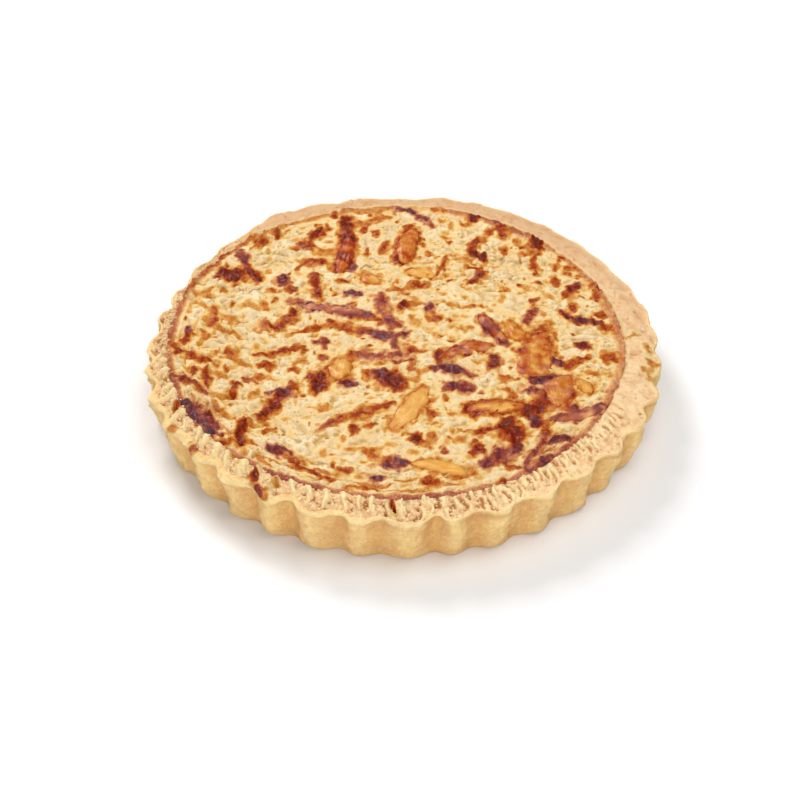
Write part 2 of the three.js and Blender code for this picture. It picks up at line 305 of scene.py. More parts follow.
# %% The petals
PETALS = [  # (length, width, turn, bow, widest end, how browned in the middle, and at the edge, how purple)
    (38, 12, 62, 1.5, 0.1, 0.20, 0.60, 0.0),
    (28, 9, -15, -1.0, 0.1, 0.04, 0.50, 0.0),
    (41, 17, 80, -1.0, -0.45, 0.50, 0.62, 0.42),
    (18, 10, -68, 1.0, 0.0, 0.46, 0.58, 0.0),
    (27, 14, 76, -1.5, 0.0, 0.48, 0.66, 0.60),
    (30, 11, 4, -1.5, 0.0, 0.40, 0.84, 0.25),
    (14, 8, -68, 0.5, 0.0, 0.32, 0.60, 0.0),
    (17, 9, -14, -1.0, 0.0, 0.12, 0.54, 0.0),
    (33, 8, 22, -2.0, 0.3, 0.58, 0.68, 0.6),
    (28, 7, -58, 1.0, -0.2, 0.68, 0.78, 0.75),
    (40, 9, 81, 1.0, -0.2, 0.74, 0.84, 0.35),
    (34, 11, 80, -1.5, -0.2, 0.50, 0.66, 0.1),
    (20, 12, 86, 0.0, 0.0, 0.26, 0.60, 0.0),
    (13, 9, -42, 0.5, 0.0, 0.44, 0.60, 0.0),
    (31, 7, 18, 1.0, 0.0, 0.64, 0.70, 0.95),
    (46, 7, -13, -1.5, 0.2, 0.60, 0.72, 0.95),
]
SOFT_PETALS = (1, 2, 4, 5, 7, 8, 13, 14)  # the pale, still see-through ones


def petal_centre(number):
    """Where the petal's middle lies, as (x, y) in millimetres."""
    low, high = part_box(f"onion_piece_{number:02d}")
    return (low.x + high.x) / 2 / MM, (low.y + high.y) / 2 / MM


def petal_mark(number):
    """The browned mark that a petal leaves in the custard, written as the others are."""
    length, width, turned, bow, _, _, edge, hue = PETALS[number - 1]
    centre_x, centre_y = petal_centre(number)
    turn = math.radians(turned)
    path = []
    for u in (-0.8, 0.0, 0.8):
        along, side = u * length / 2, bow * (u * u - 0.4)
        path.append((
            centre_x + along * math.cos(turn) - side * math.sin(turn),
            centre_y + along * math.sin(turn) + side * math.cos(turn),
        ))
    return path, width * 1.02, edge * (0.80 if number in SOFT_PETALS else 1.05), hue


MARKS += [petal_mark(number) for number in range(1, len(PETALS) + 1)]
print(len(PETALS), "petals")

# %% [markdown]
# ## The pool of custard
# The pastry's inner edge isn't a true circle: it wavers by a millimetre or two. Cutting one body with the
# other would match them too, but leaves ragged faces. Here one function says how far the custard reaches
# at each angle, and custard and pastry both use it, so the two always meet.

# %% The pool's edge
custard_low, custard_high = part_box("custard_filling")
POOL_X = (custard_low.x + custard_high.x) / 2 / MM
POOL_Y = (custard_low.y + custard_high.y) / 2 / MM
POOL_RADIUS = (custard_high.x - custard_low.x) / 2 / MM
POOL_FLOOR = custard_low.z / MM
CUSTARD_LEVEL = RIM_HEIGHT - 2.2


def pool_edge(angle):
    """How far the custard reaches from the pool's centre at an angle in degrees, in millimetres."""
    turn = np.radians(angle)
    wavy = 0.8 * np.sin(2 * turn + 0.7) + 0.5 * np.sin(5 * turn) + 0.3 * np.sin(13 * turn + 1.6)
    return POOL_RADIUS + wavy - 1.9 * bump_at(angle, 92, 42)


def contact(angle):
    """(brown, purple) where custard meets pastry: mauve, paler on the right and at the back."""
    turn = np.radians(angle)
    ring_x, ring_y = POOL_RADIUS * np.sin(turn), POOL_RADIUS * np.cos(turn)
    pale = np.maximum(bump_at(angle, 95, 50), bump_at(angle, 178, 42))
    brown = 0.56 - 0.10 * pale + 0.12 * flat_lumps(ring_x, ring_y, 9, 2, 13.0)
    brown += 0.22 * flat_lumps(ring_x, ring_y, 30, 1, 17.0)
    return np.clip(brown, 0.1, 0.9), 0.90 - 0.05 * pale - 0.35 * bump_at(angle, -140, 45)


print("pool radius", round(POOL_RADIUS, 1), "mm, level", round(CUSTARD_LEVEL, 1), "mm")

# %% [markdown]
# ## From marks to fields
# A mark is soft-edged: full strength along its path, fading past its width, with a faint golden surround.
# Shifting each point a little by noise before measuring turns the even strips into torn, wandering ones.

# %% Mark fields
def along_path(x, y, path):
    """(distance, share): how far each point is from a path, and how far along the path it is, 0 to 1."""
    total = sum(math.dist(a, b) for a, b in zip(path, path[1:]))
    nearest = np.full(len(x), 1e9)
    share = np.zeros(len(x))
    done = 0.0
    for (ax, ay), (bx, by) in zip(path, path[1:]):
        length = math.dist((ax, ay), (bx, by))
        ux, uy = (bx - ax) / length, (by - ay) / length
        t = np.clip((x - ax) * ux + (y - ay) * uy, 0, length)
        distance = np.hypot(x - ax - t * ux, y - ay - t * uy)
        share = np.where(distance < nearest, (done + t) / total, share)
        nearest = np.minimum(nearest, distance)
        done += length
    return nearest, share


def browning(x, y, marks):
    """(brown, purple, rise) at each point, each 0 to 1. rise is how far the marks stand proud."""
    wander_x = x + 1.7 * flat_lumps(x, y, 8, 2, 3.1) + 0.35 * flat_lumps(x, y, 2.4, 2, 8.4)
    wander_y = y + 1.7 * flat_lumps(x, y, 8, 2, 17.7) + 0.35 * flat_lumps(x, y, 2.4, 2, 5.9)
    brown, halo, purple, weight, rise = (np.zeros(len(x)) for _ in range(5))
    for path, width, amount, hue in marks:
        xs, ys = zip(*path)
        reach = width * 1.2 + 6
        near = (x > min(xs) - reach) & (x < max(xs) + reach) & (y > min(ys) - reach) & (y < max(ys) + reach)
        here = np.flatnonzero(near)
        if not len(here):
            continue
        distance, share = along_path(wander_x[here], wander_y[here], path)
        half = width / 2 * (0.86 + 0.44 * np.sin(np.pi * share) ** 0.6)
        core = step(distance / half, 1.40, 0.30)
        around = step(distance - half, 3.4, -0.4)
        brown[here] = np.maximum(brown[here], (0.09 + amount) * core)
        halo[here] = np.maximum(halo[here], (0.22 + 0.33 * amount) * around)
        purple[here] += hue * (core + 0.02 * around)
        weight[here] += core + 0.02 * around
        rise[here] = np.maximum(rise[here], step(distance / half, 1.25, 0.70) * step(amount, 0.45, 0.8))
    mottle = 0.34 * flat_lumps(x, y, 6.0, 2, 51.0) + 0.12 * flat_lumps(x, y, 1.9, 2, 53.0)
    halo *= np.clip(0.75 + 1.6 * flat_lumps(x, y, 6, 2, 55.0), 0.15, 1.3)
    brown = np.maximum(brown, halo)
    brown = np.clip(brown + mottle * step(brown, 0.05, 0.4), 0, 1)
    return brown, purple / np.maximum(weight, 1e-3), rise

# %% [markdown]
# ## The custard's surface
# The custard is one closed body. A square grid has even cells all over, and pulling its corners in onto a
# circle keeps them nearly even, where a spun disc would crowd them at the centre. Its edge is pulled down
# into a side, and one flat face closes the bottom. It reaches a hair into the pastry so no gap shows.

# %% Custard mesh
GRID = 296
EDGE_OVERLAP = 1.8
SIDE_TAPER = 4.0


def finished(name, bm, replaced):
    """Turns a bmesh into a smooth-shaded piece of the quiche that stands for the given CAD nodes."""
    mesh = bpy.data.meshes.new(name)
    bm.to_mesh(mesh)
    bm.free()
    mesh.shade_smooth()
    piece = bpy.data.objects.new(name, mesh)
    bpy.context.scene.collection.objects.link(piece)
    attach(piece, "root")
    if replaced:
        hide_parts(*replaced)
    return piece


def coordinates(mesh):
    """The mesh's vertices as three arrays, in millimetres."""
    flat = np.empty(len(mesh.vertices) * 3)
    mesh.vertices.foreach_get("co", flat)
    return (flat.reshape(-1, 3) / MM).T


def place(mesh, x, y, z):
    """Moves the mesh's vertices to these places in millimetres."""
    mesh.vertices.foreach_set("co", (np.column_stack((x, y, z)) * MM).ravel())
    mesh.update()


def to_metres(bm):
    """Shrinks a shape drawn with one unit to the millimetre."""
    for vertex in bm.verts:
        vertex.co *= MM


def store(mesh, **measures):
    """Keeps numbers on the mesh, one per vertex under each name, for its material to read."""
    for name, values in measures.items():
        mesh.attributes.new(name, "FLOAT", "POINT").data.foreach_set("value", values.astype(np.float32))


bm = bmesh.new()
bmesh.ops.create_grid(bm, x_segments=GRID, y_segments=GRID, size=1.0)
border = [edge for edge in bm.edges if edge.is_boundary]
side = bmesh.ops.extrude_edge_only(bm, edges=border)["geom"]
lower = [part for part in side if isinstance(part, bmesh.types.BMVert)]
bmesh.ops.translate(bm, verts=lower, vec=(0, 0, -1))
bmesh.ops.holes_fill(bm, edges=[edge for edge in bm.edges if edge.is_boundary], sides=0)
to_metres(bm)
bmesh.ops.recalc_face_normals(bm, faces=bm.faces)
custard = finished("baked_custard", bm, ["custard_filling"])

square_x, square_y, square_z = coordinates(custard.data)
lower_side = square_z < -0.5
disc_x = square_x * np.sqrt(1 - square_y**2 / 2)
disc_y = square_y * np.sqrt(1 - square_x**2 / 2)
reach = pool_edge(rim_angle(disc_x, disc_y)) + EDGE_OVERLAP - SIDE_TAPER * lower_side
x = POOL_X + disc_x * reach
y = POOL_Y + disc_y * reach
print("custard", len(custard.data.vertices), "vertices")

# %% [markdown]
# Now every vertex learns how browned it is. The marks come first, then the line along the pastry, whose
# width wanders, and golden freckles, small brown spots and sunken pits at random places between them. A
# texture could scatter the spots, but here each one can also dent the surface.

# %% Custard browning
def scattered(count, sizes, strengths, seed):
    """A field of count soft spots at seeded random places: their strength at the middle, 0 between them."""
    chance = random.Random(seed)
    field = np.zeros(len(x))
    for number in range(count):
        angle, out = chance.uniform(0, math.tau), (POOL_RADIUS - 3) * math.sqrt(chance.random())
        at_x, at_y = POOL_X + out * math.cos(angle), POOL_Y + out * math.sin(angle)
        size = chance.uniform(*sizes)
        strength = chance.uniform(*strengths)
        stretch = chance.uniform(0.6, 1.5)
        near = np.flatnonzero((abs(spot_x - at_x) < 3 * size) & (abs(spot_y - at_y) < 3 * size))
        away = np.hypot((spot_x[near] - at_x) / stretch, (spot_y[near] - at_y) * stretch) / size
        field[near] = np.maximum(field[near], strength * step(away, 1.4, 0.1))
    return field


from_centre = np.hypot(x - POOL_X, y - POOL_Y)
turn = rim_angle(x - POOL_X, y - POOL_Y)
from_edge = pool_edge(turn) - from_centre
brown, purple, rise = browning(x, y, MARKS)

edge_width = 3.0 + 2.0 * flat_lumps(x, y, 14, 2, 41.0) + 0.5 * flat_lumps(x, y, 3.5, 2, 2.0)
edge_width += 0.4 * bump_at(turn, -95, 45) + 4.0 * np.maximum(bump_at(turn, 95, 45), bump_at(turn, 160, 40))
edge_brown, edge_purple = contact(turn)
edge_line = edge_brown * step(from_edge, np.maximum(edge_width, 1.2), -0.4)
edge_share = step(edge_line, brown - 0.08, brown + 0.08)
purple = purple * (1 - edge_share) + edge_purple * edge_share
brown = np.maximum(brown, edge_line)

spot_x = x + 0.8 * flat_lumps(x, y, 2.2, 2, 61.0)
spot_y = y + 0.8 * flat_lumps(x, y, 2.2, 2, 63.0)
golden = scattered(440, (1.5, 3.8), (0.20, 0.52), 11)
spots = scattered(170, (0.9, 2.2), (0.50, 0.88), 12)
pits = scattered(600, (0.6, 1.5), (0.35, 1.0), 13)
print("browned past half", round(float((brown > 0.5).mean()) * 100), "% of the custard")

# %% [markdown]
# The surface is built up in layers, broad ones first: slow waves, a smooth dome at the back, rounded
# lumps with soft valleys between them, flow lines along the front edge, folds on the left, cracks, and
# the marks standing proud. Sculpting would give the same forms, but layers can be tuned one at a time.

# %% Custard relief
DOME_HEIGHT = 1.9
FLOW_HEIGHT = 1.0
FOLD_HEIGHT = 2.6
CRACK_DEPTH = 0.8
PIT_DEPTH = 0.9
GOLDEN_DEPTH = 1.3
FRONT_CLIMB = 0.8

dome_away = np.hypot(x + 5, y - 93) / 23
dome = step(dome_away, 1.05, 0.8)
calm = np.maximum(dome, 0.7 * step(flat_lumps(x, y, 34, 1, 7.0), 0.08, 0.35))
golden *= 1 - 0.8 * dome
bent_x, bent_y = x + 2.2 * flat_lumps(x, y, 9, 1, 1.0), y + 2.2 * flat_lumps(x, y, 9, 1, 9.0)
pillow = np.sqrt(flat_lumps(bent_x, bent_y * 1.25, 8.5, 2, 4.0) ** 2 + 0.003)
small = flat_lumps(x, y * 1.2, 3.1, 2, 6.6)
flow_mask = step(from_edge, 26, 12) * step(from_edge, 1.0, 4)
flow_mask *= step(abs((turn + 20 + 180) % 360 - 180), 100, 60)
flow = flat_lumps(from_centre / 2.6, np.radians(turn) * from_centre / 19, 1.0, 2, 21.0) * flow_mask

fold_mask = step(-x, 58, 84) * step(from_edge, 1, 6) * step(abs(y + 8), 62, 40)
across_fold = (0.56 * bent_x + 0.83 * bent_y) / 8.5
along_fold = (0.83 * x - 0.56 * y) / 26
folds = flat_lumps(across_fold, along_fold, 1.0, 2, 27.0) * fold_mask

crease = np.zeros(len(x))
cut_x, cut_y = x + 1.3 * flat_lumps(x, y, 5, 2, 31.0), y + 1.3 * flat_lumps(x, y, 5, 2, 37.0)
for path in CRACKS:
    distance, share = along_path(cut_x, cut_y, path)
    crease = np.maximum(crease, step(distance, 1.0, 0.3) * (0.65 + 0.35 * np.sin(np.pi * share)))

lumpy = (1 - 0.85 * calm) * (2.4 * pillow + 1.05 * small) * (1 + 0.45 * step(-x, 35, 85))
height = 0.40 * (np.sin(x / 17 + 0.6) + np.sin(y / 14 - 0.9) + np.sin((x - y) / 23 + 1.7))
height *= step(from_edge, 2, 22)
height += DOME_HEIGHT * step(dome_away, 1.08, 0.25)
height += 0.45 * flat_lumps(x, y, 12, 2, 0.3) + lumpy - 0.5
height += FLOW_HEIGHT * flow + FOLD_HEIGHT * folds - CRACK_DEPTH * crease - PIT_DEPTH * pits
height -= GOLDEN_DEPTH * golden * (1 - calm)
height += rise * (0.45 + 0.9 * flat_lumps(x, y, 2.6, 2, 12.0))
height += FRONT_CLIMB * bump_at(turn, 0, 75) * step(from_edge, 6, 0.5)
# How low each point lies among the lumps and pits; the ochre and browner tones that follow it are painted
# shade.
hollow = np.clip(0.66 - 0.85 * lumpy + 0.6 * pits - 1.2 * flow - 0.30 * calm, 0, 1)
baked_more = step(flat_lumps(x, y, 20, 2, 71.0) + 0.25 * step(from_centre, 95, 20), -0.20, 0.50)
smears = flat_lumps(bent_x / 1.5, bent_y * 1.2, 8.0, 2, 83.0)
for layer in (
    golden, spots,
    flow_mask * 0.50 * step(-flow, 0.02, 0.30),
    fold_mask * 0.46 * step(-folds, 0.10, 0.40),
    # Painted shade: the part of this browning that follows the hollows.
    (0.10 + 0.36 * step(hollow, 0.35, 0.95)) * baked_more,
    (0.56 * step(smears, 0.06, 0.70)) * (0.35 + 0.65 * baked_more) * (1 - 0.9 * dome),
):
    brown = np.maximum(brown, layer)

place(custard.data, x, y, np.where(lower_side, POOL_FLOOR, CUSTARD_LEVEL + height))
store(custard.data, brown=brown, purple=purple, crease=crease, hollow=hollow)
print("custard top", round(float((CUSTARD_LEVEL + height).max()), 2), "mm")

# %% [markdown]
# ## Building materials in code
# Every finish here is a tree of shader nodes. They could be placed by hand in the editor, but code says
# more plainly what feeds what. A short helper adds a node, sets its plain inputs and links the inputs
# that are given another node's output, so a material reads from top to bottom.

# %% Node helpers
def srgb(red, green, blue):
    """A colour given as it looks on screen, 0 to 255 a channel, as the linear numbers that shaders use."""
    channels = (red / 255, green / 255, blue / 255)
    return tuple(c / 12.92 if c <= 0.04045 else ((c + 0.055) / 1.055) ** 2.4 for c in channels) + (1,)


def feed(tree, node, inputs):
    """Gives a node its inputs. Each is a number, a colour or another node's output socket."""
    for name, value in inputs.items():
        if isinstance(value, bpy.types.NodeSocket):
            tree.links.new(value, node.inputs[name])
        else:
            node.inputs[name].default_value = value


def add(tree, kind, inputs=None, **settings):
    """Adds a shader node with these settings and inputs."""
    made = tree.nodes.new("ShaderNode" + kind)
    for name, value in settings.items():
        setattr(made, name, value)
    feed(tree, made, inputs or {})
    return made


def calc(tree, operation, a, b=0.0, c=0.0, clamp=False):
    """A sum of numbers or sockets; MULTIPLY_ADD is a * b + c."""
    return add(tree, "Math", {0: a, 1: b, 2: c}, operation=operation, use_clamp=clamp).outputs[0]


def times(tree, a, b):
    return calc(tree, "MULTIPLY", a, b)


def blend(tree, share, a, b):
    """Colour a where share is 0 and colour b where it is 1."""
    return add(tree, "Mix", {0: share, 6: a, 7: b}, data_type="RGBA").outputs[2]


def layered(tree, colour, layers):
    """A colour with others laid over it in turn, each given as (share, colour)."""
    for share, tone in layers:
        colour = blend(tree, share, colour, tone)
    return colour


def ramp(tree, value, stops):
    """A colour ramp of (position, colour) stops."""
    made = add(tree, "ValToRGB", {0: value})
    band = made.color_ramp
    for number, (position, colour) in enumerate(stops):
        element = band.elements[number] if number < 2 else band.elements.new(position)
        element.position = position
        element.color = colour
    return made.outputs["Color"]


def grade(tree, value, low, high):
    """0 where value is low, 1 where it is high, straight between them."""
    return add(tree, "MapRange", {0: value, 1: low, 2: high}).outputs[0]


def speckle(tree, scale, detail=3.0, roughness=0.55, vector=None):
    """Noise from 0 to 1. scale counts lumps a metre."""
    inputs = {"Scale": scale, "Detail": detail, "Roughness": roughness}
    inputs["Vector"] = vector or add(tree, "TexCoord").outputs["Object"]
    return add(tree, "TexNoise", inputs).outputs["Fac"]


def attribute(tree, name):
    """What store kept on the mesh under this name."""
    return add(tree, "Attribute", attribute_name=name).outputs["Fac"]


def bump(tree, height, strength, distance):
    """The normal of a surface with fine relief. A height of 1 stands for the distance, in metres."""
    return add(tree, "Bump", {"Height": height, "Strength": strength, "Distance": distance}).outputs[0]


def material(name):
    """(material, its node tree, its Principled BSDF)"""
    made = bpy.data.materials.new(name)
    made.use_nodes = True
    return made, made.node_tree, made.node_tree.nodes["Principled BSDF"]


# %% [markdown]
# ## One group for everything that browns
# Custard, onion and spilt drops on the pastry all brown the same way: cream, golden, orange, red-brown,
# nearly black; red onion goes through mauve to plum instead. That scale is one shader node group, used by
# each of those materials. Noise inside it frays the edges and mottles the middles.

# %% The browning group
browning_group = bpy.data.node_groups.new("browning", "ShaderNodeTree")
sockets = browning_group.interface
for name, way, kind in (
    ("Unbaked", "INPUT", "Color"), ("Brown", "INPUT", "Float"), ("Purple", "INPUT", "Float"),
    ("Fray", "INPUT", "Float"), ("Colour", "OUTPUT", "Color"), ("Baked", "OUTPUT", "Float"),
):
    sockets.new_socket(name, in_out=way, socket_type="NodeSocket" + kind)
given = browning_group.nodes.new("NodeGroupInput")
result = browning_group.nodes.new("NodeGroupOutput")
tree = browning_group
coarse_fray = times(tree, calc(tree, "SUBTRACT", speckle(tree, 380, 3, 0.6), 0.5), 0.50)
fine_fray = times(tree, calc(tree, "SUBTRACT", speckle(tree, 1300, 3, 0.6), 0.5), 0.55)
touched = times(tree, grade(tree, given.outputs["Brown"], 0.08, 0.48), given.outputs["Fray"])
frayed = times(tree, calc(tree, "ADD", coarse_fray, fine_fray), touched)
baked = calc(tree, "ADD", given.outputs["Brown"], frayed, clamp=True)
toast = ramp(tree, baked, [
    (0.06, srgb(230, 208, 160)), (0.20, srgb(226, 192, 128)), (0.32, srgb(210, 160, 86)),
    (0.44, srgb(198, 128, 50)), (0.56, srgb(184, 98, 30)), (0.68, srgb(166, 68, 10)),
    (0.82, srgb(146, 40, 0)), (1.00, srgb(98, 18, 0)),
])
plum = ramp(tree, baked, [
    (0.06, srgb(230, 208, 160)), (0.20, srgb(226, 190, 138)), (0.32, srgb(212, 162, 108)),
    (0.44, srgb(198, 138, 104)), (0.56, srgb(176, 106, 82)), (0.68, srgb(146, 78, 68)),
    (0.82, srgb(112, 56, 62)), (1.00, srgb(76, 44, 62)),
])
cool = calc(tree, "MULTIPLY_ADD", speckle(tree, 300, 3), 1.6, -1.62)
hue = calc(tree, "MULTIPLY_ADD", given.outputs["Purple"], 1.7, cool, clamp=True)
scale_colour = blend(tree, hue, toast, plum)
shown = grade(tree, baked, 0.03, 0.18)
tree.links.new(blend(tree, shown, given.outputs["Unbaked"], scale_colour), result.inputs["Colour"])
tree.links.new(baked, result.inputs["Baked"])


def browned(tree, unbaked, brown, purple, fray=1.0):
    """Places the group and returns it. fray says how strongly noise breaks the colour up."""
    inputs = {"Unbaked": unbaked, "Brown": brown, "Purple": purple, "Fray": fray}
    return add(tree, "Group", inputs, node_tree=browning_group)


print("group", browning_group.name, len(browning_group.nodes), "nodes")

# %% [markdown]
# ## Custard
# Set custard is cream, dotted with dried herbs. Its hollows are coloured ochre and browner as painted
# shade, and its cracks dark brown as painted shade. Browned parts are glossy, because sugar and fat come
# to the surface there, and blistered, which the bump shows. The large forms are already in the mesh, so
# the bump holds only what is finer than its cells.

# %% Custard material
JUICY = (0.004, 0.002, 0.001)  # how far red, green and blue light travel inside, in metres
finish, tree, surface = material("baked custard")
place_at = add(tree, "TexCoord").outputs["Object"]
cloud = speckle(tree, 55, 4)
fine = speckle(tree, 900, 4, 0.6)
# Painted shade: ochre in the hollows, broken up by fine noise.
ochre = calc(tree, "MULTIPLY_ADD", calc(tree, "SUBTRACT", fine, 0.5), 1.1, attribute(tree, "hollow"))
plain = layered(tree, srgb(234, 216, 178), [
    (grade(tree, cloud, 0.36, 0.62), srgb(224, 196, 150)),
    (grade(tree, ochre, -0.06, 0.74), srgb(190, 146, 78)),
    # Painted shade: dark brown in the cracks.
    (times(tree, attribute(tree, "crease"), 0.90), srgb(136, 98, 50)),
])
coloured = browned(tree, plain, attribute(tree, "brown"), attribute(tree, "purple"))

herb_inputs = {"Scale": 430.0, "Randomness": 1.0, "Vector": place_at}
herb = add(tree, "TexVoronoi", herb_inputs, voronoi_dimensions="2D")
herb_size = times(tree, grade(tree, herb.outputs["Color"], 0.30, 1.0), 0.36)
herb_edge = calc(tree, "MULTIPLY_ADD", speckle(tree, 2600, 2), 0.30, herb.outputs["Distance"])
herbs = grade(tree, calc(tree, "SUBTRACT", herb_size, herb_edge), -0.20, -0.04)
herbs = times(tree, herbs, grade(tree, speckle(tree, 45, 2), 0.34, 0.52))
herbs = times(tree, herbs, grade(tree, coloured.outputs["Baked"], 0.50, 0.20))
colour = blend(tree, times(tree, herbs, 0.62), coloured.outputs["Colour"], srgb(152, 114, 40))
gloss = grade(tree, coloured.outputs["Baked"], 0.25, 0.75)
matt = calc(tree, "MULTIPLY_ADD", fine, 0.20, 0.46)
rough = calc(tree, "SUBTRACT", matt, times(tree, gloss, 0.34))
blisters = times(tree, speckle(tree, 560, 3, 0.55), calc(tree, "MULTIPLY_ADD", gloss, 0.7, 0.5))
feed(tree, surface, {
    "Base Color": colour, "Roughness": rough, "Normal": bump(tree, blisters, 0.8, 0.0014),
    "Coat Weight": times(tree, gloss, 0.12), "Coat Roughness": 0.16,
    "Specular IOR Level": 0.20, "Specular Tint": (1.0, 0.66, 0.38, 1),
    "Subsurface Weight": 0.08, "Subsurface Radius": JUICY, "Subsurface Scale": 1.0,
})
custard.data.materials.append(finish)
print("custard material", len(tree.nodes), "nodes")

# %% [markdown]
# ## The pastry shell
# The shell is round, so its outline, drawn as half a section, is spun once about Z. The outline goes
# along the underside, up the flared wall, over the lip and the sloping rim, and down inside to the floor.

# %% Pastry mesh
STEPS_ROUND = 720
WALL_STEP, RIM_STEP = 1.25, 0.72
LIP_RADIUS, LIP_HEIGHT = RIM_RADIUS - 0.1, RIM_HEIGHT - 3.8
FOOT_RADIUS = LIP_RADIUS - 5.4
INNER = POOL_RADIUS + 1.6
UNDER = [(0, 0), (40, 0), (80, 0), (110, 0), (FOOT_RADIUS - 3.0, 0)]
WALL = [
    (FOOT_RADIUS - 3.0, 0), (FOOT_RADIUS - 1.2, 0.25), (FOOT_RADIUS - 0.1, 1.6), (FOOT_RADIUS + 0.9, 7),
    (LIP_RADIUS - 2.4, 16), (LIP_RADIUS - 0.7, LIP_HEIGHT - 4), (LIP_RADIUS - 0.1, LIP_HEIGHT - 1.5),
]
RIM = [
    (LIP_RADIUS - 0.1, LIP_HEIGHT - 1.5), (LIP_RADIUS, LIP_HEIGHT - 0.6),
    (LIP_RADIUS - 0.6, LIP_HEIGHT + 0.1), (LIP_RADIUS - 2.6, LIP_HEIGHT + 0.1),
    (LIP_RADIUS - 5.5, LIP_HEIGHT + 0.8), (INNER + 4.0, RIM_HEIGHT - 1.6),
    (INNER + 1.2, RIM_HEIGHT - 1.0), (INNER, RIM_HEIGHT - 1.4), (INNER - 0.8, RIM_HEIGHT - 2.4),
    (INNER - 1.4, RIM_HEIGHT - 4.5),
]
INSIDE = [
    (INNER - 1.4, RIM_HEIGHT - 4.5), (INNER - 4.5, POOL_FLOOR + 1), (INNER - 6, POOL_FLOOR - 0.3),
    (60, POOL_FLOOR - 0.3), (0, POOL_FLOOR - 0.3),
]


def smooth_path(points, spacing):
    """Points about spacing apart on a smooth curve through these points, the last one left out."""
    ends = [points[0], *points, points[-1]]
    made = []
    for p0, p1, p2, p3 in zip(ends, ends[1:], ends[2:], ends[3:]):
        count = max(1, round(math.dist(p1, p2) / spacing))
        for number in range(count):
            t = number / count
            made.append(tuple(
                b + 0.5 * t * (c - a + t * (2 * a - 5 * b + 4 * c - d + t * (3 * (b - c) + d - a)))
                for a, b, c, d in zip(p0, p1, p2, p3)
            ))
    return made


outline = UNDER[:-1] + smooth_path(WALL, WALL_STEP) + smooth_path(RIM, RIM_STEP) + INSIDE
bm = bmesh.new()
corners = [bm.verts.new((radius * MM, 0, height * MM)) for radius, height in outline]
edges = [bm.edges.new(pair) for pair in zip(corners, corners[1:])]
bmesh.ops.spin(
    bm, geom=corners + edges, cent=(0, 0, 0), axis=(0, 0, 1),
    angle=math.tau, steps=STEPS_ROUND, use_merge=True,
)
bmesh.ops.remove_doubles(bm, verts=bm.verts, dist=1e-6)
on_rim = [
    edge for edge in bm.edges
    if all(v.co.z > (LIP_HEIGHT - 2) * MM and v.co.to_2d().length > (INNER - 0.9) * MM for v in edge.verts)
]
bmesh.ops.subdivide_edges(bm, edges=on_rim, cuts=1, use_grid_fill=True)
bmesh.ops.recalc_face_normals(bm, faces=bm.faces)
pastry = finished("pastry_crust", bm, ["pastry_shell"])
print("outline", len(outline), "points, pastry", len(pastry.data.vertices), "vertices")

# %% [markdown]
# The round shell is then pressed into flutes and dented. The tin gives 36 even flutes, which the baker's
# thumbs and the oven make uneven. Moving the vertices of a smooth shell keeps its faces even, where
# cutting flutes out of it would not.

# %% Pastry shape
FLUTES = 36
FLUTE_DEPTH = 4.2
FOLD_DEPTH = 0.8
FLUTE_TURN = math.degrees(0.02)
CROWDING = 0.32  # how much closer together the front's vertices are than the back's
# (middle angle, width) of the sectors where the rim is torn
TORN = [(-112, 26), (-75, 34), (-35, 34), (0, 34), (38, 26)]
OUT_OF_ROUND = [  # (angle, width, millimetres out) where the wall stands in or out
    (-113, 18, -4.6), (-152, 14, 2.0), (180, 7, -2.2), (125, 24, -2.6), (62, 12, 1.4), (-60, 10, 1.2),
    (-88, 9, -1.0), (-164, 3, -2.0), (-138, 3, -1.9), (-127, 2.5, -1.8), (-119, 2.5, 1.4),
    (-146, 2.5, 1.6), (170, 3, 1.2),
]

x, y, z = coordinates(pastry.data)
radius, angle = np.hypot(x, y), rim_angle(x, y)
angle = angle - CROWDING * np.degrees(np.sin(np.radians(angle)))
x, y = radius * np.sin(np.radians(angle)), -radius * np.cos(np.radians(angle))
round_x, round_y = np.sin(np.radians(angle)) * 127, -np.cos(np.radians(angle)) * 127
top = step(z, LIP_HEIGHT - 1.6, LIP_HEIGHT) * step(radius, INNER - 1.5, INNER)
outer = step(radius, INNER + 1, LIP_RADIUS - 3)
inner = (1 - step(radius, INNER + 1, LIP_RADIUS - 4)) * step(z, 3, 6)
up_wall = np.clip(z / LIP_HEIGHT, 0, 1)

torn = np.zeros(len(x))
for centre, width in TORN:
    torn = np.maximum(torn, bump_at(angle, centre, width))
torn = np.clip(step(torn, 0.25, 0.75) + 0.10, 0, 1)

wobble = angle + 1.7 * flat_lumps(round_x, round_y, 26, 1, 5.0)
wobble += 1.4 * up_wall * lumps(round_x, round_y, z, 15, 1, 8.0)
groove = 0.5 - 0.5 * np.cos(np.radians(FLUTES * (wobble - FLUTE_TURN)))
strength = 1 + 0.45 * flat_lumps(round_x, round_y, 30, 1, 2.0)
strength *= 1 - up_wall**3 * (0.85 * bump_at(angle, 135, 55) + 0.55 * bump_at(angle, -150, 38))
fluted = outer * strength * (FLUTE_DEPTH * groove**1.3 - 0.3)
swell = sum(amount * bump_at(angle, centre, width) for centre, width, amount in OUT_OF_ROUND)
swell = (swell + 0.8 * flat_lumps(round_x, round_y, 22, 2, 14.0)) * outer * (0.35 + 0.65 * up_wall)
wall = outer * (1 - top) * step(z, 0.5, 3)
dents = 2.0 * lumps(x, y, z, 12, 3, 3.0) + lumps(x, y, z, 4.2, 2, 5.0) + 0.35 * lumps(x, y, z, 1.9, 1, 7.0)
dents *= wall
fold_at = LIP_HEIGHT - 4.2 + 2.2 * flat_lumps(round_x, round_y, 20, 2, 23.0)
scoop = wall * 1.1 * groove**2 * np.exp(-(((z - LIP_HEIGHT + 6) / 4.5) ** 2))
